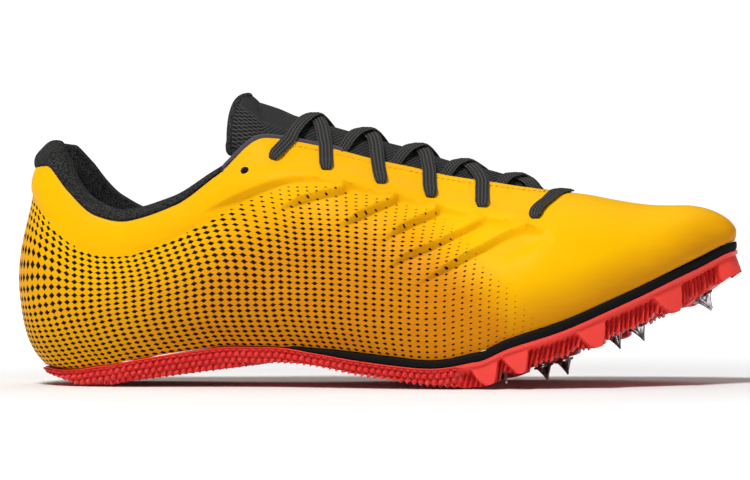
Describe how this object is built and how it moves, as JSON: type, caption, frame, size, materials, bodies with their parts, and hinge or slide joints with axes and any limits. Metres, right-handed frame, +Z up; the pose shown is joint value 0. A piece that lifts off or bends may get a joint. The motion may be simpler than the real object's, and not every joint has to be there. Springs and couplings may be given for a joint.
{
  "type": "track spike shoe",
  "caption": "Low sprint shoe with a hollow mesh upper, padded collar, tongue, flat lace, thin midsole wedge and a moulded plate with screw-in spikes under the forefoot.",
  "frame": {"origin": "on the floor, in the middle of the heel's flat spot", "axes": "+X to the toe, +Y to the inner (medial) side of the right foot, +Z up"},
  "size_m": [0.285, 0.0953, 0.1155],
  "materials": {
    "upper_mesh": "thin engineered mesh under a smooth film, yellow-orange with a printed dot screen",
    "collar_knit": "heathered black padded knit",
    "tongue_mesh": "black open mesh over thin foam",
    "insole_cloth": "dark grey cloth on foam",
    "midsole_foam": "smooth black foam",
    "sole_plate": "coral moulded plate, satin to glossy",
    "spike_steel": "bright plated steel",
    "lace_braid": "flat black braid with ridges along it"
  },
  "bodies": {
    "root": {"upper": "upper_mesh", "collar": "collar_knit", "tongue": "tongue_mesh", "insole": "insole_cloth", "midsole": "midsole_foam", "outsole": "sole_plate", "spike_1": "spike_steel", "spike_2": "spike_steel", "spike_3": "spike_steel", "spike_4": "spike_steel", "spike_5": "spike_steel", "spike_6": "spike_steel", "spike_7": "spike_steel", "lace_bar": "lace_braid", "lace_cross_1": "lace_braid", "lace_cross_2": "lace_braid", "lace_cross_3": "lace_braid", "lace_cross_4": "lace_braid", "lace_cross_5": "lace_braid"}
  },
  "joints": []
}
